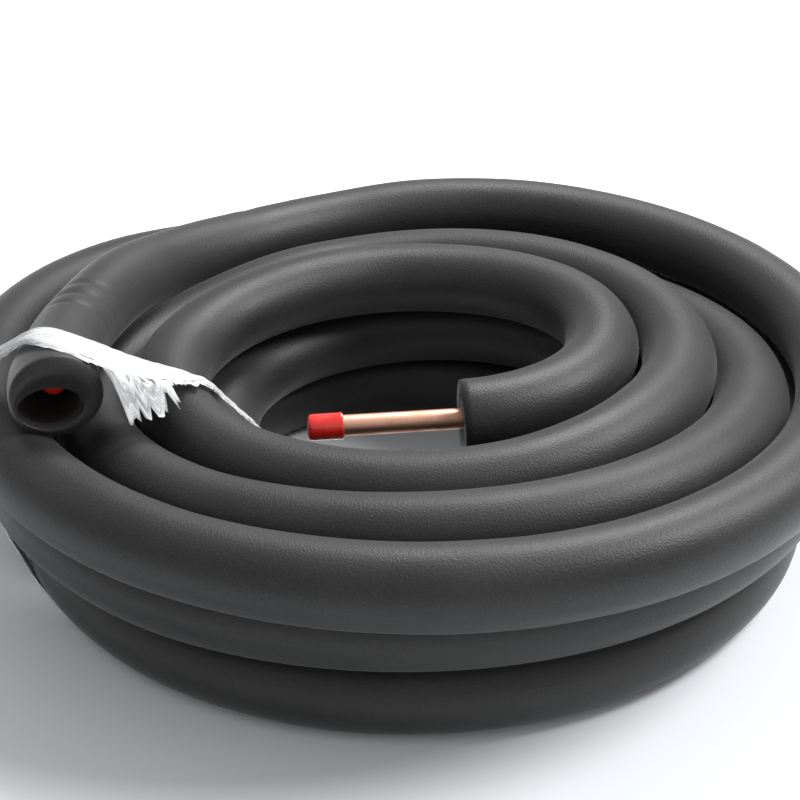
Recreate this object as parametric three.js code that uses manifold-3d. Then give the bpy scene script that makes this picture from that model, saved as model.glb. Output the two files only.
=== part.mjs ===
// A mini split line set: one copper line in black foam insulation, wound by
// hand into a loose coil about three layers deep. A push-on vinyl cap closes
// each end of the copper, and a strip of clear stretch film is pulled round
// the bundle beside the outer end.
//
// Millimetres, +Z up. The coil rests on z = 0 with its box centred on x = y = 0.
import * as THREE from 'three';
import { mergeVertices } from 'three/addons/utils/BufferGeometryUtils.js';
import Module from 'manifold-3d';

const wasm = await Module();
wasm.setup();

// The line in section
const copperOuter = 9.52;
const copperWall = 0.81;
const foamWall = 12.4;
const slipGap = 0.34;
const foamBore = copperOuter + 2 * slipGap;
const foamOuter = foamBore + 2 * foamWall;

// The coil, wound by hand
const lapGap = 0.63;
const stationsPerTurn = 20;
const foamSides = 16;

// The ends
const innerHeading = 284;
const outerHeading = 3454;
const bareCopper = 67;
const bareHeading = 187;
const capWall = 0.8;
const capEnd = 1;
const capSlip = 0.3;
const capRoom = 0.55;
const capLength = 15.5;
const capEdge = 1.4;
const mouthWide = 28;
const mouthHigh = 19;
const capRecess = 18;
const pocketSpare = 2;
const pocketRoom = 0.7;

// The stretch film
const filmThick = 0.7;
const filmGap = 0.35;
const filmRise = 0.15;
const filmPanel = 2.2;
const filmReach = 30;
const filmHeading = 207;
const filmWide = 44;
const filmNarrow = 14;

// The line as it was coiled, from the inner end to the outer end: heading
// round the coil in degrees, then distance from the middle and height of the
// line's centre, both in widths of foam.
const laid = [
  [284, 1.93, 2.48], [306, 2.02, 2.5], [324, 2.22, 2.52], [342, 2.45, 2.55], [360, 2.56, 2.58],
  [400, 2.5, 2.56], [450, 2.28, 2.5], [485, 2.52, 2.5], [508, 2.78, 2.46], [528, 2.93, 2.44],
  [548, 3.55, 2.4], [575, 3.78, 2.34], [626, 3.46, 2.34], [680, 3.48, 2.42], [720, 3.46, 2.43],
  [770, 3.4, 2.36], [810, 3.34, 2.3], [850, 3.5, 2], [870, 3.72, 1.85], [890, 4.1, 1.85],
  [915, 4.62, 2], [940, 4.66, 2.2], [986, 4.48, 2.42], [1040, 4.4, 2.4], [1065, 4.35, 2.2],
  [1085, 4.32, 1.98], [1125, 4.25, 1.65], [1170, 4.2, 1.5], [1215, 4.2, 1.06], [1240, 4.3, 0.95],
  [1260, 4.35, 0.95], [1295, 4.15, 1.08], [1350, 3.9, 1.42], [1400, 3.6, 1.5], [1440, 3.3, 1.48],
  [1485, 3, 1.5], [1530, 2.82, 1.46], [1580, 3, 1.46], [1610, 3.12, 1.4], [1652, 2.95, 1.28],
  [1710, 2.6, 1.02], [1760, 2.57, 0.85], [1800, 2.6, 0.7], [1845, 2.83, 0.52], [1890, 3.05, 0.5],
  [1935, 3.22, 0.5], [1980, 3.3, 0.5], [2070, 3.45, 0.5], [2160, 3.75, 0.5], [2250, 4.15, 0.5],
  [2290, 4.78, 0.5], [2325, 5.15, 0.5], [2345, 5.18, 0.5], [2370, 5.14, 0.5], [2430, 4.85, 0.5],
  [2490, 4.72, 0.5], [2520, 4.75, 0.5], [2570, 4.85, 0.5], [2610, 4.98, 0.5], [2640, 5.38, 0.8],
  [2670, 5.55, 1.15], [2705, 5.5, 1.4], [2735, 5.38, 1.46], [2790, 4.96, 1.49], [2850, 4.98, 1.46],
  [2880, 5.1, 1.43], [2930, 5.3, 1.4], [2970, 5.42, 1.4], [2990, 5.6, 1.56], [3006, 5.76, 1.84],
  [3030, 5.82, 2.08], [3060, 5.78, 2.26], [3090, 5.62, 2.34], [3150, 5.46, 2.34], [3200, 5.46, 2.34],
  [3240, 5.42, 2.36], [3290, 5.56, 2.36], [3310, 5.55, 2.34], [3330, 5.32, 2.3], [3352, 4.8, 2.22],
  [3368, 4.5, 2.25], [3385, 4.25, 2.5], [3403, 4.15, 2.82], [3420, 4.25, 2.96], [3438, 4.7, 3.02],
  [3456, 5.4, 3.08],
];
const hiddenFrom = 1080;
const hiddenTo = 2290;

// A smooth line through the rows of `laid`, read at one heading.
function laidAt(heading) {
  const slope = (i) => {
    const secant = (a, b) => [1, 2].map((k) => (laid[b][k] - laid[a][k]) / (laid[b][0] - laid[a][0]));
    if (i === 0) return secant(0, 1);
    if (i === laid.length - 1) return secant(i - 1, i);
    const before = laid[i][0] - laid[i - 1][0];
    const after = laid[i + 1][0] - laid[i][0];
    const [p, q] = [secant(i - 1, i), secant(i, i + 1)];
    return p.map((v, k) => (v * after + q[k] * before) / (before + after));
  };
  let i = laid.findIndex((row) => row[0] > heading) - 1;
  if (i < 0) i = laid.length - 2;
  const span = laid[i + 1][0] - laid[i][0];
  const u = (heading - laid[i][0]) / span;
  const [m, n] = [slope(i), slope(i + 1)];
  return [0, 1].map((k) => (2 * u ** 3 - 3 * u ** 2 + 1) * laid[i][k + 1]
    + (u ** 3 - 2 * u ** 2 + u) * span * m[k]
    + (3 * u ** 2 - 2 * u ** 3) * laid[i + 1][k + 1]
    + (u ** 3 - u ** 2) * span * n[k]);
}

// Lets the laps push each other apart, plane by plane round the coil, until
// none is nearer another than its width and a gap. Hidden laps give way most.
function settle(headings, start) {
  const step = (2 * Math.PI) / stationsPerTurn;
  const spacing = (foamOuter + lapGap) / foamOuter;
  const rounds = 600;
  const give = headings.map((h) => (h >= hiddenFrom && h <= hiddenTo ? 1 : 0.25));
  const v = start.map((p) => [...p]);
  const last = v.length - 1;
  for (let round = 0; round < rounds; round += 1) {
    const along = v.map((p, i) => {
      const [a, b] = [Math.max(i - 1, 0), Math.min(i + 1, last)];
      const rate = [0, 1].map((k) => (v[b][k] - v[a][k]) / (b - a) / step);
      const size = Math.hypot(rate[0], rate[1], p[0]);
      return rate.map((r) => r / size);
    });
    const move = v.map(() => [0, 0]);
    for (let i = 0; i <= last; i += 1) {
      for (let j = i + stationsPerTurn; j <= last; j += stationsPerTurn) {
        const apart = [v[j][0] - v[i][0], v[j][1] - v[i][1]];
        const far = Math.hypot(...apart) + 1e-9;
        const way = apart.map((a) => a / far);
        const square = [i, j].map((n) => Math.sqrt(1 - (way[0] * along[n][0] + way[1] * along[n][1]) ** 2));
        const short = Math.min(Math.max(spacing / Math.min(...square) - far, 0), 0.3);
        if (short === 0) continue;
        const share = give[i] / (give[i] + give[j]);
        for (const k of [0, 1]) {
          move[i][k] -= way[k] * short * share * 0.5;
          move[j][k] += way[k] * short * (1 - share) * 0.5;
        }
      }
    }
    const pulling = round < rounds * 0.75;
    const stiff = pulling ? 0.12 : 0.04;
    const pushed = v.map((p, i) => p.map((x, k) => x + move[i][k]));
    for (let i = 0; i <= last; i += 1) {
      for (const k of [0, 1]) {
        let x = pushed[i][k];
        if (i > 0 && i < last) x += ((pushed[i - 1][k] + pushed[i + 1][k]) / 2 - x) * stiff * give[i];
        if (pulling) x += (start[i][k] - x) * 0.06 * (1.25 - give[i]);
        v[i][k] = k === 1 ? Math.max(x, 0.5) : x;
      }
    }
  }
  return v;
}

// The centre line in space. Its two ends stop a little short of their
// stations, and the two stations beside the film stand on it. The foam's
// corners lie on the true round, so its flat sides are a little inside it.
const turnStep = 360 / stationsPerTurn;
const firstHeading = Math.ceil(laid[0][0] / turnStep) * turnStep;
const headings = [];
for (let h = firstHeading; h <= laid.at(-1)[0]; h += turnStep) headings.push(h);
const settled = settle(headings, headings.map(laidAt));
headings[0] = innerHeading;
headings[headings.length - 1] = outerHeading;
const foamFlat = (foamOuter / 2) * Math.cos(Math.PI / foamSides);
const filmLift = filmThick + filmGap + filmRise;
const around = (h) => new THREE.Vector3(Math.cos(h * Math.PI / 180), Math.sin(h * Math.PI / 180), 0);
const centres = settled.map(([r, height], i) => {
  const point = around(headings[i]).multiplyScalar(r * foamOuter);
  const offFilm = Math.abs(((headings[i] - filmHeading) % 360 + 540) % 360 - 180);
  point.z = (height - 0.5) * foamOuter + foamFlat + (offFilm < turnStep * 0.6 ? filmLift : 0);
  return point;
});
const innerEnd = centres[0];
const outerEnd = centres.at(-1);
const bareWay = around(bareHeading);
const outerWay = outerEnd.clone().sub(centres.at(-2)).normalize();
const innerTip = innerEnd.clone().addScaledVector(bareWay, bareCopper);
const outerTip = outerEnd.clone().addScaledVector(outerWay, -(capRecess + capEnd + capSlip));

// A route with its sections square to the line and level with the floor.
const line = [innerTip, ...centres.slice(0, -1), outerTip, outerEnd];
const tangents = line.map((p, i) => line[Math.min(i + 1, line.length - 1)].clone()
  .sub(line[Math.max(i - 1, 0)]).normalize());
class LineRoute extends THREE.CatmullRomCurve3 {
  constructor(from, to) {
    super(line.slice(from, to));
    this.frames = tangents.slice(from, to).map((tangent) => {
      const up = new THREE.Vector3(0, 0, 1).addScaledVector(tangent, -tangent.z).normalize();
      return { tangent, normal: up.clone().cross(tangent), up };
    });
  }

  getUtoTmapping(u) {
    return u;
  }

  computeFrenetFrames() {
    return {
      tangents: this.frames.map((f) => f.tangent),
      normals: this.frames.map((f) => f.normal),
      binormals: this.frames.map((f) => f.up),
    };
  }
}

// A many-sided ring with a flat side down; `flat` is the centre-to-side distance.
function corners(sides, flat) {
  const radius = flat / Math.cos(Math.PI / sides);
  return Array.from({ length: sides }, (_, i) => {
    const a = -Math.PI / 2 + ((i + 0.5) * 2 * Math.PI) / sides;
    return new THREE.Vector2(radius * Math.cos(a), radius * Math.sin(a));
  });
}

function tube(from, to, outerSides, outerFlat, boreSides, boreFlat) {
  const section = new THREE.Shape(corners(outerSides, outerFlat));
  section.holes.push(new THREE.Path(corners(boreSides, boreFlat)));
  return new THREE.ExtrudeGeometry(section, {
    steps: to - from - 1, bevelEnabled: false, extrudePath: new LineRoute(from, to),
  });
}

function toSolid(geometry) {
  const bare = new THREE.BufferGeometry();
  bare.setAttribute('position', geometry.getAttribute('position'));
  if (geometry.index) bare.setIndex(geometry.index);
  const merged = mergeVertices(bare, 1e-4);
  return new wasm.Manifold(new wasm.Mesh({
    numProp: 3,
    vertProperties: new Float32Array(merged.getAttribute('position').array),
    triVerts: new Uint32Array(merged.index.array),
  }));
}

function toGeometry(solid) {
  const mesh = solid.getMesh();
  const geometry = new THREE.BufferGeometry();
  geometry.setAttribute('position', new THREE.BufferAttribute(mesh.vertProperties, 3));
  geometry.setIndex(new THREE.BufferAttribute(mesh.triVerts, 1));
  const flat = geometry.toNonIndexed();
  flat.computeVertexNormals();
  return flat;
}

// Turns a shape made along +Y to point along `way`, wide side level.
function aim(geometry, way, at) {
  const up = new THREE.Vector3(0, 0, 1).addScaledVector(way, -way.z).normalize();
  const side = way.clone().cross(up);
  const turn = new THREE.Matrix4().makeBasis(side, way, up);
  return geometry.applyMatrix4(turn).translate(at.x, at.y, at.z);
}

// The insulation, slipped over all but the bare end of the copper. At the
// outer end it has been squeezed into a wide mouth round the recessed cap.
const insulationSolid = toSolid(tube(1, line.length, foamSides, foamFlat, 6, foamBore / 2));
const capInner = copperOuter / 2 + capRoom;
const capOuter = capInner + capWall;
const pocketDeep = capRecess + capLength + pocketSpare;
const pocketOver = pocketSpare * 2;
const pocketEnd = (capOuter + pocketRoom) * 2;
const flare = (mouthWide - pocketEnd) / pocketDeep;
const mouthCut = new THREE.CylinderGeometry(
  (mouthWide + flare * pocketOver) / 2, pocketEnd / 2, pocketDeep + pocketOver, 20,
).translate(0, (pocketOver - pocketDeep) / 2, 0);
const cutPoints = mouthCut.getAttribute('position');
for (let i = 0; i < cutPoints.count; i += 1) {
  const wide = cutPoints.getY(i) > 0 ? mouthHigh / mouthWide : 1;
  cutPoints.setZ(i, cutPoints.getZ(i) * wide);
}
aim(mouthCut, outerWay, outerEnd);
const insulation = toGeometry(insulationSolid.subtract(toSolid(mouthCut)));

// The copper tube, open right through under its caps. Its sides lie a little
// inside the true round, so that the corners stay clear of the foam.
const copperFlat = copperOuter * 0.487;
const copper = tube(0, line.length - 1, 8, copperFlat, 8, copperFlat - copperWall);

// A vinyl cap pushed over a copper end; its closed end sits at y = capEnd.
function cap() {
  const profile = [
    [0, capSlip], [capInner, capSlip], [capInner, capEnd - capLength], [capOuter, capEnd - capLength],
    [capOuter, capEnd + capSlip - capEdge], [capOuter - capEdge, capEnd + capSlip], [0, capEnd + capSlip],
  ].map(([x, y]) => new THREE.Vector2(x, y));
  return new THREE.LatheGeometry(profile.concat([profile[0].clone()]), 24);
}
const innerCap = aim(cap(), bareWay, innerTip);
const outerCap = aim(cap(), outerWay, outerTip);

// The film is a closed band drawn tight round every lap that it crosses. It
// is widest over the outer laps and gathers to a narrow strip at the eye.
const filmWay = around(filmHeading);
const filmSide = around(filmHeading + 90);
const filmWidthAt = (r) => {
  const share = Math.min(Math.max((r / foamOuter - 2.4) / 2.2, 0), 1);
  return filmNarrow + (filmWide - filmNarrow) * share;
};
function wrapped(clear) {
  const points = [];
  for (let i = 1; i < line.length - 1; i += 1) {
    for (let k = 0; k <= 8; k += 1) {
      const p = line[i].clone().lerp(line[i + 1], k / 8);
      if (p.dot(filmWay) < 0 || Math.abs(p.dot(filmSide)) > filmReach) continue;
      for (let a = 0; a < 32; a += 1) {
        const turn = (a * Math.PI) / 16;
        points.push([p.dot(filmWay) + clear * Math.cos(turn), p.z + clear * Math.sin(turn)]);
      }
    }
  }
  points.sort((a, b) => a[0] - b[0] || a[1] - b[1]);
  const half = (list) => list.reduce((kept, p) => {
    const turns = () => {
      const [a, b] = kept.slice(-2);
      return (b[0] - a[0]) * (p[1] - a[1]) - (b[1] - a[1]) * (p[0] - a[0]);
    };
    while (kept.length > 1 && turns() <= 1e-9) kept.pop();
    return [...kept, p];
  }, []);
  const lower = half(points);
  const upper = half([...points].reverse());
  return [...lower.slice(0, -1), ...upper.slice(0, -1)];
}
function filmBand() {
  const inner = wrapped(foamOuter / 2 + filmRise)
    .filter((p, i, all) => Math.hypot(p[0] - all.at(i - 1)[0], p[1] - all.at(i - 1)[1]) > filmPanel);
  const count = inner.length;
  const outer = inner.map((p, i) => {
    const [a, b] = [inner.at(i - 1), inner[(i + 1) % count]];
    const size = Math.hypot(b[0] - a[0], b[1] - a[1]);
    return [p[0] + ((b[1] - a[1]) / size) * filmThick, p[1] - ((b[0] - a[0]) / size) * filmThick];
  });
  const vertices = [];
  const put = ([r, z], near, side) => {
    const at = filmWay.clone().multiplyScalar(r).addScaledVector(filmSide, (side * filmWidthAt(near)) / 2);
    vertices.push(at.x, at.y, Math.max(z, 0));
  };
  inner.forEach((p, i) => {
    put(p, p[0], -1);
    put(p, p[0], 1);
    put(outer[i], p[0], 1);
    put(outer[i], p[0], -1);
  });
  const faces = [];
  for (let i = 0; i < count; i += 1) {
    for (let k = 0; k < 4; k += 1) {
      const [a, b] = [4 * i + k, 4 * i + ((k + 1) % 4)];
      const [c, d] = [4 * ((i + 1) % count) + k, 4 * ((i + 1) % count) + ((k + 1) % 4)];
      faces.push(a, c, b, b, c, d);
    }
  }
  const band = new THREE.BufferGeometry();
  band.setAttribute('position', new THREE.Float32BufferAttribute(vertices, 3));
  band.setIndex(faces);
  const flat = band.toNonIndexed();
  flat.computeVertexNormals();
  return flat;
}

const group = new THREE.Group();
group.name = 'mini_split_line_set';
function add(name, geometry, look) {
  const mesh = new THREE.Mesh(geometry, new THREE.MeshStandardMaterial(look));
  mesh.name = name;
  group.add(mesh);
}
add('insulation', insulation, { name: 'black_foam', color: 0x2e2d2b, roughness: 0.8 });
add('copper_tube', copper, { name: 'copper', color: 0xb87350, roughness: 0.35, metalness: 1 });
add('inner_end_cap', innerCap, { name: 'red_vinyl', color: 0xc01818, roughness: 0.35 });
add('outer_end_cap', outerCap, { name: 'red_vinyl_deep', color: 0xc01818, roughness: 0.35 });
add('stretch_film', filmBand(), {
  name: 'clear_film', color: 0xe8ecee, roughness: 0.25, transparent: true, opacity: 0.45,
});

// Centre the whole coil on its own footprint.
const box = new THREE.Box3().setFromObject(group);
const middle = box.getCenter(new THREE.Vector3());
for (const mesh of group.children) mesh.geometry.translate(-middle.x, -middle.y, -box.min.z);

export default group;
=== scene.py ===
# %% [markdown]
# # A mini split line set
# The real thing is a long copper tube inside a black foam sleeve, wound by
# hand into a loose coil. A red vinyl cap closes each end of the copper, and
# clear stretch film is pulled round the bundle near the outer end. First
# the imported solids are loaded, because every piece has to lie where they do.

# %% Load the frame
import math
import bpy
import numpy as np
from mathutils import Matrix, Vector, noise


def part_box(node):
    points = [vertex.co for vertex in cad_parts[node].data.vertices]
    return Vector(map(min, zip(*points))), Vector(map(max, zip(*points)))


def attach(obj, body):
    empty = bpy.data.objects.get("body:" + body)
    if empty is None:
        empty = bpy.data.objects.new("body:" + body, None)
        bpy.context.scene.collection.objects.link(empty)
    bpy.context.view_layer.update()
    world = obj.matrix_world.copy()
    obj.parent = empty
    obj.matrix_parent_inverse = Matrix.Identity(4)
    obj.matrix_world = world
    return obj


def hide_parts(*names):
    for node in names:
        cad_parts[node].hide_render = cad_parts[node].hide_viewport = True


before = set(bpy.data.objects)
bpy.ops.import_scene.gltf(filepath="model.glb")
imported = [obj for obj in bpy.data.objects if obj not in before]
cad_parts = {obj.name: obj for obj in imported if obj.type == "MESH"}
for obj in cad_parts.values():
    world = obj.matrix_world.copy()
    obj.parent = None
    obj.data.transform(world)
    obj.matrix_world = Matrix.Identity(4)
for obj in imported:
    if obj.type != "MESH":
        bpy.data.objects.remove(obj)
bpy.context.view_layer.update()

MM = 0.001

# %% [markdown]
# ## The sizes of the line
# The foam is 35 mm round and the copper is 9.52 mm, the stock sizes. Laps
# that touch keep a small gap. The route is written in widths of foam, so it
# would still fit if the line were made thicker.

# %% Sizes, in metres
copper_radius = 9.52 * MM / 2
copper_wall = 0.81 * MM
foam_radius = 17.5 * MM
bore_radius = 5.1 * MM
foam_width = foam_radius * 2
lap_gap = 0.63 * MM
stations_per_turn = 20
turn_step = 360 / stations_per_turn
film_heading = 207  # the two stations here stand on the film
film_lift = 1.2 * MM
print("foam", round(foam_radius * 2000, 1), "mm, copper", round(copper_radius * 2000, 2), "mm")

# %% [markdown]
# ## The route of the laps
# Nobody winds such a coil to a formula, so no helix will do. Each row below
# is one place on the line: its heading round the coil in degrees, and its
# distance from the middle and height in widths of foam. The laps in view
# were read off the photograph, the hidden ones are a guess that joins them,
# and the same rows make the solids.

# %% The line as it was coiled
laid = [
    (284, 1.93, 2.48), (306, 2.02, 2.5), (324, 2.22, 2.52), (342, 2.45, 2.55), (360, 2.56, 2.58),
    (400, 2.5, 2.56), (450, 2.28, 2.5), (485, 2.52, 2.5), (508, 2.78, 2.46), (528, 2.93, 2.44),
    (548, 3.55, 2.4), (575, 3.78, 2.34), (626, 3.46, 2.34), (680, 3.48, 2.42), (720, 3.46, 2.43),
    (770, 3.4, 2.36), (810, 3.34, 2.3), (850, 3.5, 2), (870, 3.72, 1.85), (890, 4.1, 1.85),
    (915, 4.62, 2), (940, 4.66, 2.2), (986, 4.48, 2.42), (1040, 4.4, 2.4), (1065, 4.35, 2.2),
    (1085, 4.32, 1.98), (1125, 4.25, 1.65), (1170, 4.2, 1.5), (1215, 4.2, 1.06), (1240, 4.3, 0.95),
    (1260, 4.35, 0.95), (1295, 4.15, 1.08), (1350, 3.9, 1.42), (1400, 3.6, 1.5), (1440, 3.3, 1.48),
    (1485, 3, 1.5), (1530, 2.82, 1.46), (1580, 3, 1.46), (1610, 3.12, 1.4), (1652, 2.95, 1.28),
    (1710, 2.6, 1.02), (1760, 2.57, 0.85), (1800, 2.6, 0.7), (1845, 2.83, 0.52), (1890, 3.05, 0.5),
    (1935, 3.22, 0.5), (1980, 3.3, 0.5), (2070, 3.45, 0.5), (2160, 3.75, 0.5), (2250, 4.15, 0.5),
    (2290, 4.78, 0.5), (2325, 5.15, 0.5), (2345, 5.18, 0.5), (2370, 5.14, 0.5), (2430, 4.85, 0.5),
    (2490, 4.72, 0.5), (2520, 4.75, 0.5), (2570, 4.85, 0.5), (2610, 4.98, 0.5), (2640, 5.38, 0.8),
    (2670, 5.55, 1.15), (2705, 5.5, 1.4), (2735, 5.38, 1.46), (2790, 4.96, 1.49), (2850, 4.98, 1.46),
    (2880, 5.1, 1.43), (2930, 5.3, 1.4), (2970, 5.42, 1.4), (2990, 5.6, 1.56), (3006, 5.76, 1.84),
    (3030, 5.82, 2.08), (3060, 5.78, 2.26), (3090, 5.62, 2.34), (3150, 5.46, 2.34),
    (3200, 5.46, 2.34), (3240, 5.42, 2.36), (3290, 5.56, 2.36), (3310, 5.55, 2.34), (3330, 5.32, 2.3),
    (3352, 4.8, 2.22), (3368, 4.5, 2.25), (3385, 4.25, 2.5), (3403, 4.15, 2.82), (3420, 4.25, 2.96),
    (3438, 4.7, 3.02), (3456, 5.4, 3.08),
]
hidden_laps = (1080, 2290)
end_headings = (284, 3454)


def smooth_through(knots, values, at):
    """Reads a smooth curve through the knots at the places in `at`."""
    knots, values = np.asarray(knots, float), np.asarray(values, float)
    gap = np.diff(knots)
    secant = np.diff(values, axis=0) / gap[:, None]
    slope = np.empty_like(values)
    slope[0], slope[-1] = secant[0], secant[-1]
    before, after = gap[:-1, None], gap[1:, None]
    slope[1:-1] = (secant[:-1] * after + secant[1:] * before) / (before + after)
    i = np.clip(np.searchsorted(knots, at, side="right") - 1, 0, len(gap) - 1)
    u, span = ((at - knots[i]) / gap[i])[:, None], gap[i][:, None]
    return ((2 * u**3 - 3 * u**2 + 1) * values[i] + (u**3 - 2 * u**2 + u) * span * slope[i]
            + (3 * u**2 - 2 * u**3) * values[i + 1] + (u**3 - u**2) * span * slope[i + 1])


first_heading = math.ceil(laid[0][0] / turn_step) * turn_step
headings = np.arange(first_heading, laid[-1][0] + 1e-6, turn_step)
started = smooth_through([row[0] for row in laid], [row[1:] for row in laid], headings)
turns = (laid[-1][0] - laid[0][0]) / 360
print(len(laid), "rows give", len(headings), "stations over", round(turns, 2), "turns")

# %% [markdown]
# ## Letting the laps settle
# Rows read from one picture always overlap somewhere. On the real coil the
# laps push each other aside, so this step does the same: in every plane
# round the coil, laps that overlap move apart, and the ones that nobody can
# see give way the most.


# %% Settle the laps
settle_rounds, pulling_rounds = 600, 450
give_hidden, give_seen = 1.0, 0.25
bend_while_pulled, bend_when_free = 0.12, 0.04
pull_home = 0.06
floor_height = 0.5


def settle(headings, start):
    step, spacing = math.radians(turn_step), 1 + lap_gap / foam_width
    hidden = (headings >= hidden_laps[0]) & (headings <= hidden_laps[1])
    give = np.where(hidden, give_hidden, give_seen)
    pairs = [(i, j) for i in range(len(start))
             for j in range(i + stations_per_turn, len(start), stations_per_turn)]
    low, high = (np.array(side) for side in zip(*pairs))
    share = (give[low] / (give[low] + give[high]))[:, None]
    v = start.copy()
    for turn in range(settle_rounds):
        rate = np.gradient(v, axis=0) / step
        along = rate / np.linalg.norm(np.column_stack([rate, v[:, 0]]), axis=1)[:, None]
        apart = v[high] - v[low]
        far = np.linalg.norm(apart, axis=1) + 1e-9
        way = apart / far[:, None]
        square = np.minimum(*(np.sqrt(1 - (way * along[side]).sum(1) ** 2) for side in (low, high)))
        push = way * np.clip(spacing / square - far, 0, 0.3)[:, None] * 0.5
        np.add.at(v, low, -push * share)
        np.add.at(v, high, push * (1 - share))
        pulling = turn < pulling_rounds
        bend = np.zeros_like(v)
        bend[1:-1] = (v[:-2] + v[2:]) / 2 - v[1:-1]
        v += bend * ((bend_while_pulled if pulling else bend_when_free) * give)[:, None]
        if pulling:
            v += (start - v) * (pull_home * (give_hidden + give_seen - give))[:, None]
        v[:, 1] = np.maximum(v[:, 1], floor_height)
    return v


settled = settle(headings, started)
headings[0], headings[-1] = end_headings
print("the laps moved by at most", round(float(np.abs(settled - started).max()) * foam_width / MM, 1), "mm")

# %% [markdown]
# ## The centre line
# The stations lie 18 degrees apart. A smooth curve through them gives the
# line its real bends. It is cut finer near the outer end, where the foam
# changes shape, and the whole line is shifted so that it lies on the solids.


# %% Points along the line
def around(heading):
    a = np.radians(heading)
    return np.stack([np.cos(a), np.sin(a), np.zeros_like(a)], -1)


off_film = np.abs((headings - film_heading + 180) % 360 - 180)
lifted = np.where(off_film < turn_step * 0.6, film_lift, 0)
solid_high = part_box("insulation")[1]
station_r = settled[:, 0] * foam_width
station_z = settled[:, 1] * foam_width + lifted


def fine_points(at):
    r_z = smooth_through(headings, np.column_stack([station_r, station_z]), at)
    points = around(at) * r_z[:, :1]
    points[:, 2] = np.maximum(r_z[:, 1], foam_radius)
    return points


finer_from, finest_from = 3366, 3424
fine_headings = np.concatenate([
    np.arange(end_headings[0], finer_from, 2.4), np.arange(finer_from, finest_from, 1.0),
    np.arange(finest_from, end_headings[1] + 0.01, 0.5)])
line = fine_points(fine_headings)
east = line[:, 0].max() + foam_radius
north = line[:, 1].max() + foam_radius
shift = np.array([solid_high.x - east, solid_high.y - north, 0])
line += shift
step_length = np.linalg.norm(np.diff(line, axis=0), axis=1)
along_line = np.concatenate([[0], np.cumsum(step_length)])
line_length = float(along_line[-1])
print("insulated length", round(line_length, 3), "m; shift", [round(float(v) / MM, 2) for v in shift], "mm")


# %% Frames that keep one side up
def unit(v):
    return v / np.linalg.norm(v, axis=-1, keepdims=True)


def frames_along(points):
    """Tangent, sideways and up direction at each point, never rolling over."""
    tangent = unit(np.gradient(points, axis=0))
    up = unit(np.array([0, 0, 1.0]) - tangent * tangent[:, 2:3])
    return tangent, np.cross(up, tangent), up


bare_heading = 187.0
tangent, side, up = frames_along(line)
inner_end, outer_end = line[0], line[-1]
bare_way = unit(around(np.array(bare_heading)))
outer_way = tangent[-1]
print("inner end", inner_end.round(3), "outer end", outer_end.round(3))

# %% [markdown]
# ## The camera
# The picture was taken from in front and above, about 0.9 m away, through a
# long lens. The camera was found by fitting rings of 35 mm tube to the laps.
# Its frame is square, and a small downward shift keeps the lens level with
# the photograph's own crop.

# %% Camera
camera_from_middle = Vector((-10.9, -762.5, 470.9)) * MM
camera_looks_down = 27.49
camera_data = bpy.data.cameras.new("photo_camera")
camera_data.lens, camera_data.sensor_width = 81.0, 36.0
camera_data.shift_y = -0.031
camera = bpy.data.objects.new("photo_camera", camera_data)
bpy.context.collection.objects.link(camera)
camera.location = Vector(shift) + camera_from_middle
camera.rotation_euler = (math.radians(90 - camera_looks_down), 0, 0)
bpy.context.scene.camera = camera
print("camera at", [round(v, 3) for v in camera.location])

# %% [markdown]
# ## Making a tube from rings
# Foam sleeve, copper and caps are all rings of points joined side by side.
# A curve with a round bevel would be quicker, but it can't change from round
# to oval at the mouth, or turn back on itself to make a bore. Here the rings
# run out along the outside and home along the bore, so each tube is closed.


# %% Rings to a mesh
uv_girth = 0.11  # metres round the foam, so that both ways of the map are metres


def placed(at, points, sides, ups, lengths):
    """The centre and the two cross directions at a distance along a line."""
    read = lambda v: np.array([np.interp(at, lengths, v[:, k]) for k in range(3)])
    return read(points), unit(read(sides)), unit(read(ups))


def ring_object(name, rings, lengths):
    """Joins closed rings into one closed skin, the last ring to the first."""
    rings = np.array(rings)
    count, around_count = rings.shape[:2]
    k, j = np.meshgrid(np.arange(count), np.arange(around_count), indexing="ij")
    k2, j2 = (k + 1) % count, (j + 1) % around_count
    faces = np.stack([k * around_count + j, k * around_count + j2,
                      k2 * around_count + j2, k2 * around_count + j], -1).reshape(-1, 4)
    flat = rings.reshape(-1, 3)
    a, b, c, d = (flat[faces[:, n]] for n in range(4))
    if np.einsum("ij,ij->i", a, np.cross(b, c) + np.cross(c, d)).sum() < 0:
        faces = faces[:, ::-1]
    mesh = bpy.data.meshes.new(name)
    mesh.from_pydata(flat.tolist(), [], faces.tolist())
    mesh.polygons.foreach_set("use_smooth", np.ones(len(faces), bool))
    girth = np.arange(around_count + 1) / around_count
    uv = mesh.uv_layers.new(name="line_uv")
    loop_vertex = np.empty(len(mesh.loops), int)
    mesh.loops.foreach_get("vertex_index", loop_vertex)
    loops = loop_vertex.reshape(-1, 4)
    u = girth[loops % around_count]
    u = np.where(u < u.max(1, keepdims=True) - 0.5, u + 1, u)
    v = np.asarray(lengths)[loops // around_count]
    uv.data.foreach_set("uv", np.stack([u * uv_girth, v], -1).astype(np.float32).ravel())
    mesh.update()
    piece = bpy.data.objects.new(name, mesh)
    bpy.context.collection.objects.link(piece)
    print(name, len(faces) * 2, "triangles")
    return piece
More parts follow.
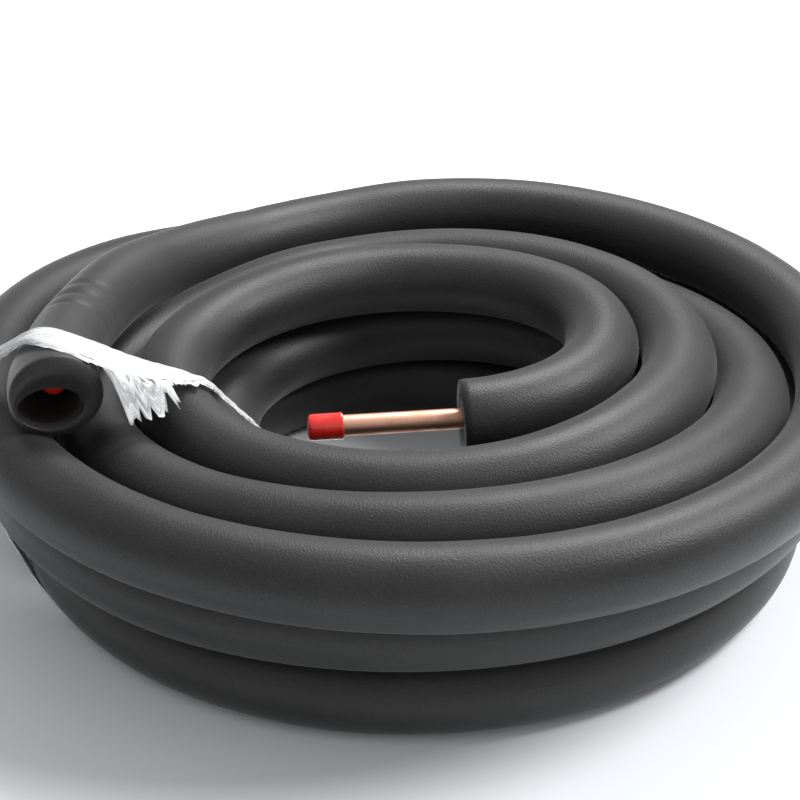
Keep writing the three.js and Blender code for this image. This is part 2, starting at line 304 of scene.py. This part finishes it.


# %% [markdown]
# ## The foam sleeve
# Rubber foam is never quite round: it dents where it was gripped, folds
# where it was bent too tightly, and was squeezed oval at its outer end by
# the film. The dents come from slow noise and the folds are placed
# where the photograph shows them.

# %% Foam sleeve
ring_count = 44
angles = np.arange(ring_count) * 2 * np.pi / ring_count
squeeze_length = 60 * MM
squeeze_wide, squeeze_high = 0.12, 0.05
slow_dent, quick_dent = 0.35 * MM, 0.12 * MM
pocket_length = 38 * MM
folds = [  # heading, angle round the line, half length, depth, half angle
    (3419, 95, 2.2 * MM, 0.9 * MM, 55), (3424, 110, 2.6 * MM, 1.3 * MM, 60),
    (3429, 80, 2.0 * MM, 0.8 * MM, 45), (3364, 100, 2.6 * MM, 0.9 * MM, 50),
]


def ease(t):
    t = min(max(t, 0.0), 1.0)
    return t * t * (3 - 2 * t)


def foam_outside(k):
    """One ring of the sleeve's skin, with its dents, folds and squeeze."""
    from_middle = np.linalg.norm(line[k][:2] - shift[:2])
    to_mouth = line_length - along_line[k]
    oval = ease(1 - to_mouth / squeeze_length)
    skin = []
    for a in angles:
        wide, high = 1 + squeeze_wide * oval, 1 + squeeze_high * oval
        way = side[k] * math.cos(a) * wide + up[k] * math.sin(a) * high
        p = Vector(line[k] + way * foam_radius)
        dent = noise.noise(p * 14) * slow_dent + noise.noise(p * 45 + Vector((7, 0, 0))) * quick_dent
        for heading, angle, half, depth, spread in folds:
            off = math.radians(fine_headings[k] - heading) * from_middle
            if abs(off) < 3 * half:
                turn = (math.degrees(a) - angle + 180) % 360 - 180
                dent -= depth * math.exp(-(off / half) ** 2 - (turn / spread) ** 2)
        may_dent = 1 if p.z > 1.5 * MM else 0
        skin.append(line[k] + way * (foam_radius + dent * may_dent))
    return np.array(skin)


def hole_ring(at, wide, high, bean=0.0, sink=0.0, aside=0.0):
    """One ring of the bore; at the mouth it is flattened, sunk and pushed aside."""
    centre, across, upward = placed(at, line, side, up, along_line)
    outward = unit(np.array([line[-1][0] - shift[0], line[-1][1] - shift[1], 0]))
    return np.array([centre - upward * sink + outward * aside + across * math.cos(a) * wide
                     + upward * math.sin(a) * high * (1 - bean * math.cos(a) ** 2 * (math.sin(a) < 0))
                     for a in angles])


inner_edge, outer_edge = 0.985, 0.965  # the cut edges are a little rounded
mouth_lean = 0.12
skin_rings = [foam_outside(k) for k in range(len(line))]
skin_rings[0] = (skin_rings[0] - line[0]) * inner_edge + line[0]
skin_rings[-1] = (skin_rings[-1] - line[-1]) * outer_edge + line[-1]
# the cut at the mouth isn't square: its top reaches a little further out
lean = unit(np.array([0, 0, 1.0]) - tangent[-1] * tangent[-1][2])
for ring in skin_rings[-6:]:
    ring += np.outer(np.clip((ring - line[-1]) @ lean, -1, 1), tangent[-1]) * mouth_lean
hole_places = [0, 1, 2.5, 5, 9, 14, 20, 26, 32, 35.9, 36, 38, 38.1, 44]  # mm in from the mouth
pocket_end, seat_end, seat_radius = 36, 38, 6.4
pinch_places, pinch = (9, 14), 1.5  # the foam sags a little in front of the cap
hole_rings, hole_lengths = [], []
for d in hole_places:
    share = max(1 - d * MM / pocket_length, 0)
    if d < pocket_end:
        wide, high = 7.0 + 7.2 * share**0.8, 7.0 + 2.2 * share
        sink = 4.4 * share + (pinch if d in pinch_places else 0)
    else:
        wide = high = seat_radius if d <= seat_end else bore_radius / MM
        sink = 0
    at = line_length - d * MM
    hole_rings.append(hole_ring(at, wide * MM, high * MM, 0.15 * share, sink * MM, 3.2 * share * MM))
    hole_lengths.append(at)
bore_places = list(np.arange(line_length - 60 * MM, 30 * MM, -20 * MM))
bore_places += [20 * MM, 10 * MM, 4 * MM, 0.6 * MM, 0]
for at in bore_places:
    radius = bore_radius + (0.4 * MM if at == 0 else 0)
    hole_rings.append(hole_ring(at, radius, radius))
    hole_lengths.append(at)
foam = ring_object("foam_sleeve", skin_rings + hole_rings, list(along_line) + hole_lengths)

# %% [markdown]
# ## The copper
# Inside the foam runs one copper tube, straight and bare where it leaves
# the sleeve. It is drawn soft, so it follows every lap. It is made hollow,
# with its wall turned in at both ends, under the caps.

# %% Copper tube
bare_length, recess = 67 * MM, 19.3 * MM
bare_points = inner_end + bare_way * (np.linspace(bare_length, 5 * MM, 8)[:, None])
core = along_line < line_length - recess
core[1::2] = False
last_point = placed(line_length - recess, line, side, up, along_line)[0]
copper_line = np.vstack([bare_points, line[core], last_point])
copper_lengths = np.concatenate([[0], np.cumsum(np.linalg.norm(np.diff(copper_line, axis=0), axis=1))])
_, copper_side, copper_up = frames_along(copper_line)


def copper_ring(k, radius, count=20):
    a = np.arange(count)[:, None] * 2 * np.pi / count
    return copper_line[k] + (copper_side[k] * np.cos(a) + copper_up[k] * np.sin(a)) * radius


outward = [copper_ring(k, copper_radius) for k in range(len(copper_line))]
homeward = [copper_ring(k, copper_radius - copper_wall) for k in range(len(copper_line) - 1, -1, -1)]
copper = ring_object("copper_line", outward + homeward, list(copper_lengths) + list(copper_lengths[::-1]))
print("copper", round(float(copper_lengths[-1]), 3), "m long")

# %% [markdown]
# ## The end caps
# Each cap is a soft vinyl cup, dip moulded, so its end is domed, its rim is
# rolled and its wall swells a little over the tube. A lathed profile gives
# all of that, and one profile serves both ends.


# %% Vinyl caps
def vinyl_cap(name, tip, way):
    """A lathed cup; each row is a radius and a place before the tube's tip, in mm."""
    outer = [(5.28, -13.9), (5.5, -14.2), (5.9, -14.2), (6.1, -13.9), (6.12, -13.2), (5.98, -12.6),
             (5.95, -8), (5.9, -3), (5.82, -0.6), (5.55, 0.35), (5.0, 0.92), (4.2, 1.22), (3, 1.38),
             (1.5, 1.46), (0.02, 1.48)]
    inner = [(0.02, 0.3), (4.6, 0.3), (5.1, 0.05), (5.25, -0.6), (5.25, -13.4)]
    upward = unit(np.array([0, 0, 1.0]) - way * way[2])
    across = np.cross(way, upward)
    a = np.arange(40)[:, None] * 2 * np.pi / 40
    rings = [tip + way * y * MM + (across * np.cos(a) + upward * np.sin(a)) * r * MM
             for r, y in outer + inner]
    return ring_object(name, rings, [y * MM for _, y in outer + inner])


inner_tip = inner_end + bare_way * bare_length
inner_cap = vinyl_cap("inner_cap_vinyl", inner_tip, bare_way)
outer_cap = vinyl_cap("outer_cap_vinyl", last_point, outer_way)

# %% [markdown]
# ## The stretch film
# The film is a strip of thin cling plastic pulled tight round the bundle, so
# in section it is the tightest loop round all the laps: a convex hull. It
# crosses the laps aslant, so a loop is found at each heading and the band
# moves from one to the next. It lies wide over the outer laps and bunches to
# a cord where it dives into the eye. Cloth simulation would fight with that
# much tension, so the band is drawn directly, and its gathers come after.

# %% The loop round the laps
# at each radius: the heading that the film has reached, and its width in mm
film_r = np.array([100, 115, 119, 123, 134, 143, 152, 160, 170, 185, 195, 212]) * MM
film_turn = [209, 209, 209.5, 210.5, 212, 213, 213, 212, 210, 206, 200, 192]
film_wide = [6, 8, 13, 17, 24, 32, 39, 41, 36, 26, 20, 16]


def tight_loop(heading, clear, reach):
    """The hull round every lap within reach of one heading, as r and z."""
    way, across = around(np.array(heading)), around(np.array(heading + 90.0))
    near = line - shift
    r, off = near @ way, near @ across
    use = (r > 0) & (np.abs(off) < reach)
    a = np.arange(48) * 2 * np.pi / 48
    cloud = np.stack([r[use][:, None] + clear * np.cos(a),
                      near[use][:, 2:3] + clear * np.sin(a)], -1).reshape(-1, 2)
    cloud = cloud[np.lexsort((cloud[:, 1], cloud[:, 0]))]

    def half(points):
        kept = []
        for p in points:
            while len(kept) > 1:
                b, c = kept[-1] - kept[-2], p - kept[-2]
                if b[0] * c[1] - b[1] * c[0] > 1e-12:
                    break
                kept.pop()
            kept.append(p)
        return kept

    return np.array(half(cloud)[:-1] + half(cloud[::-1])[:-1])


def even_loop(loop, count):
    """The same loop through a number of evenly spaced points."""
    closed = np.vstack([loop, loop[:1]])
    far = np.concatenate([[0], np.cumsum(np.linalg.norm(np.diff(closed, axis=0), axis=1))])
    at = np.arange(count) * far[-1] / count
    return np.stack([np.interp(at, far, closed[:, k]) for k in (0, 1)], -1)


loop_count = 300
film_headings = np.arange(189.0, 227.1, 2.0)
film_clear, film_reach = foam_radius + 0.5 * MM, 12 * MM
loops = np.array([even_loop(tight_loop(h, film_clear, film_reach), loop_count) for h in film_headings])
middle_loop = loops[len(loops) // 2]
loop_heading = np.interp(middle_loop[:, 0], film_r, film_turn)


def loop_at(k, heading):
    """One place on the loop, between the loops on either side of a heading."""
    return [float(np.interp(heading, film_headings, loops[:, k, n])) for n in (0, 1)]


loop = np.array([loop_at(k, loop_heading[k]) for k in range(loop_count)])
outward_2d = np.roll(loop, -1, 0) - np.roll(loop, 1, 0)
outward_2d = unit(np.stack([outward_2d[:, 1], -outward_2d[:, 0]], -1))
print("film loop", round(float(np.linalg.norm(np.roll(loop, -1, 0) - loop, axis=1).sum()), 3), "m round")

# %% The band's width
off_floor = 0.15 * MM
on_top = np.clip((outward_2d[:, 1] - 0.1) / 0.4, 0, 1)
width = np.interp(loop[:, 0], film_r, film_wide) * MM
width = np.maximum(width, 12 * MM * (1 - on_top) * (loop[:, 0] > 120 * MM))
for _ in range(4):
    width = (np.roll(width, 1) + width * 2 + np.roll(width, -1)) / 4
print("film width from", round(float(width.min()) / MM, 1), "to", round(float(width.max()) / MM, 1), "mm")


slow_tear, quick_tear = 4.6, 4.2  # mm
full_tear_width = 20 * MM


def film_layer(columns, out, trim, seed):
    """One layer of film: rows run round the loop, columns across it."""
    points, place = [], []
    for k in range(loop_count):
        ragged = (noise.noise(Vector((k * 0.21, seed, 0))) * slow_tear
                  + noise.noise(Vector((k * 0.9, seed, 4))) * quick_tear)
        for c in range(columns):
            u = c / (columns - 1) * 2 - 1
            reach = width[k] / 2 * u * trim
            if u > 0:
                reach += (ragged - 1.0) * MM * u**3 * on_top[k] * min(1, width[k] / full_tear_width)
            heading = loop_heading[k] + math.degrees(reach / max(loop[k][0], 0.05))
            r, z = np.array(loop_at(k, heading)) + outward_2d[k] * out
            p = shift + around(np.array(heading)) * r
            p[2] = max(z, off_floor)
            points.append(p)
            place.append((c / (columns - 1), k / loop_count))
    return points, place


def film_object(name, layers):
    points, place, faces = [], [], []
    for columns, out, trim, seed in layers:
        base = len(points)
        more, spots = film_layer(columns, out, trim, seed)
        points += more
        place += spots
        for k in range(loop_count):
            for c in range(columns - 1):
                a, b = base + k * columns + c, base + ((k + 1) % loop_count) * columns + c
                faces.append((a, a + 1, b + 1, b))
    mesh = bpy.data.meshes.new(name)
    mesh.from_pydata([tuple(p) for p in points], [], faces)
    mesh.polygons.foreach_set("use_smooth", np.ones(len(faces), bool))
    spot = mesh.attributes.new("film_uv", "FLOAT2", "POINT")
    spot.data.foreach_set("vector", np.array(place, np.float32).ravel())
    piece = bpy.data.objects.new(name, mesh)
    bpy.context.collection.objects.link(piece)
    return piece


film = film_object("film_wrap", [(40, 0.35 * MM, 1.0, 1.7), (30, 0.9 * MM, 0.72, 8.3)])

# %% [markdown]
# ## Gathers in the film
# Stretched film always gathers into long folds that run with the pull and
# crowd together where the strip is narrow. That is a rule, so a small
# Geometry Nodes tree raises them: noise that is long one way and short the
# other, pushed out along the normal. Its inputs stay open for tuning.


# %% Gathers, as a tree of nodes
def tree_with(name, numbers):
    tree = bpy.data.node_groups.new(name, "GeometryNodeTree")
    tree.interface.new_socket("Geometry", in_out="INPUT", socket_type="NodeSocketGeometry")
    for label, kind, value in numbers:
        socket = tree.interface.new_socket(label, in_out="INPUT", socket_type=kind)
        if value is not None:
            socket.default_value = value
    tree.interface.new_socket("Geometry", in_out="OUTPUT", socket_type="NodeSocketGeometry")
    return tree, tree.nodes.new("NodeGroupInput"), tree.nodes.new("NodeGroupOutput")


def wire(tree, *pairs):
    for source, target in pairs:
        tree.links.new(source, target)


def math_node(tree, what, first=None, second=None):
    node = tree.nodes.new("ShaderNodeMath")
    node.operation = what
    for socket, value in zip(node.inputs, (first, second)):
        if isinstance(value, (int, float)):
            socket.default_value = value
        elif value is not None:
            tree.links.new(value, socket)
    return node.outputs[0]


gathers, inp, out = tree_with("film_gathers", [
    ("Fold Height", "NodeSocketFloat", 1.1 * MM), ("Folds Across", "NodeSocketFloat", 7.0),
    ("Folds Along", "NodeSocketFloat", 9.0), ("Seed", "NodeSocketFloat", 3.0)])
spot = gathers.nodes.new("GeometryNodeInputNamedAttribute")
spot.data_type = "FLOAT_VECTOR"
spot.inputs["Name"].default_value = "film_uv"
split = gathers.nodes.new("ShaderNodeSeparateXYZ")
join = gathers.nodes.new("ShaderNodeCombineXYZ")
grain = gathers.nodes.new("ShaderNodeTexNoise")
grain.noise_dimensions = "4D"
grain.inputs["Scale"].default_value = 1.0
grain.inputs["Detail"].default_value = 2.0
move = gathers.nodes.new("GeometryNodeSetPosition")
scaled = gathers.nodes.new("ShaderNodeVectorMath")
scaled.operation = "SCALE"
normal = gathers.nodes.new("GeometryNodeInputNormal")
lift = math_node(gathers, "MULTIPLY", math_node(gathers, "ABSOLUTE", math_node(
    gathers, "SUBTRACT", grain.outputs["Fac"], 0.5)), 4.0)
turn = math_node(gathers, "MULTIPLY", split.outputs["Y"], 2 * math.pi)
wire(gathers, (spot.outputs["Attribute"], split.inputs[0]), (join.outputs[0], grain.inputs["Vector"]),
     (math_node(gathers, "MULTIPLY", split.outputs["X"], inp.outputs["Folds Across"]), join.inputs["X"]),
     (math_node(gathers, "MULTIPLY", math_node(gathers, "SINE", turn), inp.outputs["Folds Along"]),
      join.inputs["Y"]),
     (math_node(gathers, "MULTIPLY", math_node(gathers, "COSINE", turn), inp.outputs["Folds Along"]),
      join.inputs["Z"]),
     (inp.outputs["Seed"], grain.inputs["W"]), (normal.outputs[0], scaled.inputs[0]),
     (math_node(gathers, "MULTIPLY", lift, inp.outputs["Fold Height"]), scaled.inputs["Scale"]),
     (inp.outputs["Geometry"], move.inputs["Geometry"]), (scaled.outputs[0], move.inputs["Offset"]),
     (move.outputs[0], out.inputs["Geometry"]))


def run_tree(piece, tree, **settings):
    """Sets the tree's named inputs, evaluates it, and keeps a plain mesh."""
    modifier = piece.modifiers.new(tree.name, "NODES")
    modifier.node_group = tree
    for item in tree.interface.items_tree:
        if item.in_out == "INPUT" and item.name.replace(" ", "_").lower() in settings:
            modifier[item.identifier] = settings[item.name.replace(" ", "_").lower()]
    seen = piece.evaluated_get(bpy.context.evaluated_depsgraph_get())
    made = bpy.data.meshes.new_from_object(seen)
    piece.modifiers.remove(modifier)
    return made


film.data = run_tree(film, gathers, fold_height=1.5 * MM, folds_across=11.0, folds_along=3.0)
heights = np.empty(len(film.data.vertices) * 3)
film.data.vertices.foreach_get("co", heights)
heights[2::3] = np.maximum(heights[2::3], off_floor)
film.data.vertices.foreach_set("co", heights)
thick = film.modifiers.new("film_thickness", "SOLIDIFY")
thick.thickness, thick.offset = 0.12 * MM, 1.0
print("film", len(film.data.polygons), "faces before its thickness")

# %% [markdown]
# ## Shared shader effects
# Two effects turn up in several finishes: pale dust and lint, which settle
# on the black foam and on the glossy caps, and fine scuffs from handling,
# which show on the copper and the caps. Each is a node group with named
# sockets, made once, and it puts out only masks, colours or heights.


# %% Shader helpers
def shader_group(name, inputs, outputs):
    group = bpy.data.node_groups.new(name, "ShaderNodeTree")
    for label, kind, value in inputs:
        socket = group.interface.new_socket(label, in_out="INPUT", socket_type=kind)
        if value is not None:
            socket.default_value = value
    for label, kind in outputs:
        group.interface.new_socket(label, in_out="OUTPUT", socket_type=kind)
    return group, group.nodes.new("NodeGroupInput"), group.nodes.new("NodeGroupOutput")


def node(tree, kind, links=(), **settings):
    """Adds a node, sets its properties and sockets by name, and links into it."""
    made = tree.nodes.new(kind)
    for key, value in settings.items():
        if hasattr(made, key) and key not in made.inputs:
            setattr(made, key, value)
        else:
            spaced = key.replace("_", " ")
            made.inputs[spaced if spaced in made.inputs else key].default_value = value
    for source, target in dict(links).items() if isinstance(links, dict) else links:
        tree.links.new(source, made.inputs[target])
    return made


def ramp(tree, source, stops):
    """A colour ramp through (place, grey or colour) stops."""
    made = tree.nodes.new("ShaderNodeValToRGB")
    elements = made.color_ramp.elements
    while len(elements) < len(stops):
        elements.new(0.5)
    for element, (place, colour) in zip(elements, stops):
        element.position = place
        element.color = (colour,) * 3 + (1,) if isinstance(colour, (int, float)) else tuple(colour) + (1,)
    tree.links.new(source, made.inputs["Fac"])
    return made.outputs["Color"]


def mixed(tree, fac, a, b):
    """Mixes two colours; each may be a socket or a plain colour."""
    made = tree.nodes.new("ShaderNodeMix")
    made.data_type = "RGBA"
    for index, value in ((0, fac), (6, a), (7, b)):
        if isinstance(value, bpy.types.NodeSocket):
            tree.links.new(value, made.inputs[index])
        else:
            made.inputs[index].default_value = value if index == 0 else tuple(value) + (1,)
    return made.outputs[2]


# %% Dust and lint
dust_group, inp, out = shader_group(
    "dust_and_lint",
    [("Vector", "NodeSocketVector", None), ("Speck Scale", "NodeSocketFloat", 900.0),
     ("Amount", "NodeSocketFloat", 0.3)],
    [("Mask", "NodeSocketFloat")])
specks = node(dust_group, "ShaderNodeTexVoronoi",
              [(inp.outputs["Vector"], "Vector"), (inp.outputs["Speck Scale"], "Scale")])
patches = node(dust_group, "ShaderNodeTexNoise", [(inp.outputs["Vector"], "Vector")], Scale=35.0, Detail=4.0)
dots = ramp(dust_group, specks.outputs["Distance"], [(0.0, 1.0), (0.16, 0.0)])
where = ramp(dust_group, patches.outputs["Fac"], [(0.48, 0.0), (0.72, 1.0)])
placed_dots = math_node(dust_group, "MULTIPLY", dots, where)
product = math_node(dust_group, "MULTIPLY", placed_dots, inp.outputs["Amount"])
dust_group.links.new(product, out.inputs["Mask"])

# %% Handling scuffs
scuff_group, inp, out = shader_group(
    "handling_scuffs",
    [("Vector", "NodeSocketVector", None), ("Stretch", "NodeSocketVector", (1.0, 1.0, 1.0)),
     ("Scale", "NodeSocketFloat", 300.0)],
    [("Mask", "NodeSocketFloat")])
pulled = node(scuff_group, "ShaderNodeVectorMath",
              [(inp.outputs["Vector"], 0), (inp.outputs["Stretch"], 1)], operation="MULTIPLY")
lines = node(scuff_group, "ShaderNodeTexNoise",
             [(pulled.outputs[0], "Vector"), (inp.outputs["Scale"], "Scale")], Detail=6.0, Roughness=0.7)
scuff_group.links.new(ramp(scuff_group, lines.outputs["Fac"], [(0.52, 0.0), (0.68, 1.0)]), out.inputs["Mask"])
print("shader groups:", dust_group.name, scuff_group.name)


# %% A blank material
def finish(name, base=None, **constants):
    """A material with one Principled shader, its plain values set on it."""
    material = bpy.data.materials.new(name)
    material.use_nodes = True
    tree = material.node_tree
    shader = tree.nodes["Principled BSDF"]
    if base is not None:
        shader.inputs["Base Color"].default_value = tuple(base) + (1,)
    for key, value in constants.items():
        shader.inputs[key.replace("_", " ")].default_value = value
    return material, tree, shader


# %% [markdown]
# ## Black foam
# The sleeve's moulded skin is a neutral charcoal with a fine pebbled grain that
# breaks up the light, and a faint satin sheen. Faint lines run along it
# from the extruder, so one noise is stretched along the line with the
# sleeve's own UV map, while the pebble reads Object coordinates.

# %% Foam skin
foam_skin, tree, shader = finish("foam_skin", Specular_IOR_Level=0.42, IOR=1.45)
place = node(tree, "ShaderNodeTexCoord")
line_uv = node(tree, "ShaderNodeUVMap", uv_map="line_uv")
drawn_out = node(tree, "ShaderNodeMapping", [(line_uv.outputs[0], "Vector")], Scale=(1.0, 0.05, 1.0))
pebble = node(tree, "ShaderNodeTexVoronoi", [(place.outputs["Object"], "Vector")],
              Scale=1150.0, feature="SMOOTH_F1", Smoothness=0.6)
fine = node(tree, "ShaderNodeTexNoise", [(place.outputs["Object"], "Vector")], Scale=1700.0, Detail=3.0)
slow = node(tree, "ShaderNodeTexNoise", [(place.outputs["Object"], "Vector")],
            Scale=16.0, Detail=5.0, Roughness=0.55)
extruded = node(tree, "ShaderNodeTexNoise", [(drawn_out.outputs[0], "Vector")], Scale=420.0, Detail=3.0)
dust = node(tree, "ShaderNodeGroup", [(place.outputs["Object"], "Vector")],
            node_tree=dust_group, Speck_Scale=700.0, Amount=0.35)
charcoal = ramp(tree, slow.outputs["Fac"], [(0.3, (0.0125, 0.0124, 0.0126)), (0.7, (0.0225, 0.022, 0.0218))])
flecks = ramp(tree, fine.outputs["Fac"], [(0.5, 0.0), (0.75, 0.4)])
flecked = mixed(tree, flecks, charcoal, (0.062, 0.060, 0.059))
dusted = mixed(tree, dust.outputs["Mask"], flecked, (0.2, 0.19, 0.175))
tree.links.new(dusted, shader.inputs["Base Color"])
tree.links.new(ramp(tree, slow.outputs["Fac"], [(0.3, 0.43), (0.75, 0.56)]), shader.inputs["Roughness"])
height = math_node(tree, "ADD", math_node(tree, "MULTIPLY", pebble.outputs["Distance"], 0.8),
                   math_node(tree, "ADD", math_node(tree, "MULTIPLY", fine.outputs["Fac"], 0.6),
                             math_node(tree, "MULTIPLY", extruded.outputs["Fac"], 0.3)))
relief = node(tree, "ShaderNodeBump", [(height, "Height")], Strength=0.6, Distance=0.0002)
tree.links.new(relief.outputs[0], shader.inputs["Normal"])
shader.inputs["Sheen Weight"].default_value = 0.12
shader.inputs["Sheen Roughness"].default_value = 0.4
foam.data.materials.append(foam_skin)
print("foam finish made")

# %% [markdown]
# ## Copper, vinyl and film
# Soft drawn copper has long darker streaks of tarnish along it. The vinyl is
# a glossy, slightly see-through red. Film is nearly invisible where it lies
# flat and turns white along its gathers, so its alpha follows the folds.

# %% Copper
drawn_copper, tree, shader = finish("drawn_copper", Metallic=1.0)
line_uv = node(tree, "ShaderNodeUVMap", uv_map="line_uv")
place = node(tree, "ShaderNodeTexCoord")
streaks = node(tree, "ShaderNodeGroup", [(line_uv.outputs[0], "Vector")],
               node_tree=scuff_group, Stretch=(1.0, 0.06, 1.0), Scale=500.0)
stain = node(tree, "ShaderNodeTexNoise", [(place.outputs["Object"], "Vector")], Scale=120.0, Detail=5.0)
stained = ramp(tree, stain.outputs["Fac"], [(0.35, 0.0), (0.7, 1.0)])
warm = mixed(tree, stained, (0.82, 0.48, 0.35), (0.6, 0.33, 0.23))
streaked = mixed(tree, streaks.outputs["Mask"], warm, (0.4, 0.22, 0.15))
tree.links.new(streaked, shader.inputs["Base Color"])
tree.links.new(ramp(tree, stain.outputs["Fac"], [(0.3, 0.38), (0.7, 0.54)]), shader.inputs["Roughness"])
relief = node(tree, "ShaderNodeBump", [(streaks.outputs["Mask"], "Height")], Strength=0.2, Distance=0.00005)
tree.links.new(relief.outputs[0], shader.inputs["Normal"])
copper.data.materials.append(drawn_copper)

# %% Red vinyl
red_vinyl, tree, shader = finish(
    "red_vinyl", Coat_Weight=0.8, Coat_Roughness=0.05, Specular_IOR_Level=0.5,
    Subsurface_Weight=0.06, Subsurface_Scale=0.002)
shader.inputs["Subsurface Radius"].default_value = (1.0, 0.2, 0.1)
place = node(tree, "ShaderNodeTexCoord")
marks = node(tree, "ShaderNodeGroup", [(place.outputs["Object"], "Vector")],
             node_tree=scuff_group, Scale=420.0)
dust = node(tree, "ShaderNodeGroup", [(place.outputs["Object"], "Vector")],
            node_tree=dust_group, Speck_Scale=1100.0, Amount=0.12)
dip = node(tree, "ShaderNodeTexNoise", [(place.outputs["Object"], "Vector")], Scale=160.0, Detail=2.0)
red = ramp(tree, dip.outputs["Fac"], [(0.3, (0.66, 0.012, 0.010)), (0.7, (0.8, 0.028, 0.018))])
tree.links.new(mixed(tree, dust.outputs["Mask"], red, (0.7, 0.4, 0.36)), shader.inputs["Base Color"])
tree.links.new(ramp(tree, marks.outputs["Mask"], [(0.0, 0.14), (1.0, 0.3)]), shader.inputs["Roughness"])
relief = node(tree, "ShaderNodeBump", [(dip.outputs["Fac"], "Height")], Strength=0.25, Distance=0.0003)
tree.links.new(relief.outputs[0], shader.inputs["Normal"])
for cap_piece in (inner_cap, outer_cap):
    cap_piece.data.materials.append(red_vinyl)

# %% Clear film
clear_film, tree, shader = finish("clear_film", (0.93, 0.94, 0.95), Specular_IOR_Level=0.5, IOR=1.45)
spot = node(tree, "ShaderNodeAttribute", attribute_name="film_uv")
long_way = node(tree, "ShaderNodeMapping", [(spot.outputs["Vector"], "Vector")], Scale=(1.7, 0.5, 1.0))
fold = node(tree, "ShaderNodeTexNoise", [(long_way.outputs[0], "Vector")],
            Scale=14.0, Detail=7.0, Roughness=0.62, Distortion=0.4)
cloud = node(tree, "ShaderNodeTexNoise", [(spot.outputs["Vector"], "Vector")], Scale=22.0, Detail=3.0)
milky = ramp(tree, fold.outputs["Fac"], [(0.34, 0.3), (0.48, 0.5), (0.54, 0.93), (0.62, 0.55)])
tree.links.new(milky, shader.inputs["Alpha"])
tree.links.new(ramp(tree, cloud.outputs["Fac"], [(0.3, 0.12), (0.7, 0.3)]), shader.inputs["Roughness"])
relief = node(tree, "ShaderNodeBump", [(fold.outputs["Fac"], "Height")], Strength=0.9, Distance=0.0012)
tree.links.new(relief.outputs[0], shader.inputs["Normal"])
film.data.materials.append(clear_film)
print("finishes:", [m.name for m in bpy.data.materials if m.users])

# %% [markdown]
# ## Handing the pieces over
# Every piece rides on the one body and stands for the solid that it
# dresses.

# %% Ride and replace
for piece, solid, slot in (
        (foam, "insulation", "black_foam"), (copper, "copper_tube", "copper"),
        (inner_cap, "inner_end_cap", "red_vinyl"), (outer_cap, "outer_end_cap", "red_vinyl"),
        (film, "stretch_film", "clear_film")):
    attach(piece, "root")
    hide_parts(solid)
print("pieces handed over: 5")

# %% [markdown]
# ## Floor and light
# The photograph has a white sweep with a cool tint under the coil, a broad
# light from above and behind, and a second one from the right that catches
# the grain of the foam there.

# %% Floor, lights and world
floor_mesh = bpy.data.meshes.new("studio_floor")
floor_mesh.from_pydata([(-6, -6, 0), (6, -6, 0), (6, 6, 0), (-6, 6, 0)], [], [(0, 1, 2, 3)])
floor = bpy.data.objects.new("studio_floor", floor_mesh)
bpy.context.collection.objects.link(floor)
floor_paint, tree, shader = finish("floor_paint", (0.89, 0.92, 0.95), Roughness=0.7, Specular_IOR_Level=0.2)
floor_mesh.materials.append(floor_paint)


def soft_light(name, where, size, power, colour=(1, 1, 1)):
    data = bpy.data.lights.new(name, "AREA")
    data.shape, data.size, data.energy, data.color = "DISK", size, power, colour
    lamp = bpy.data.objects.new(name, data)
    bpy.context.collection.objects.link(lamp)
    lamp.location = where
    lamp.rotation_euler = (Vector((0, 0, 0.05)) - Vector(where)).to_track_quat("-Z", "Y").to_euler()
    return lamp


soft_light("window", (0.4, 1.05, 1.6), 0.8, 34)
soft_light("right_side", (1.1, 0.05, 1.2), 0.7, 24)
world = bpy.data.worlds.new("studio")
bpy.context.scene.world = world
world.use_nodes = True
world.node_tree.nodes["Background"].inputs["Color"].default_value = (1, 1, 1, 1)
world.node_tree.nodes["Background"].inputs["Strength"].default_value = 0.56
bpy.context.scene.view_settings.view_transform = "Standard"
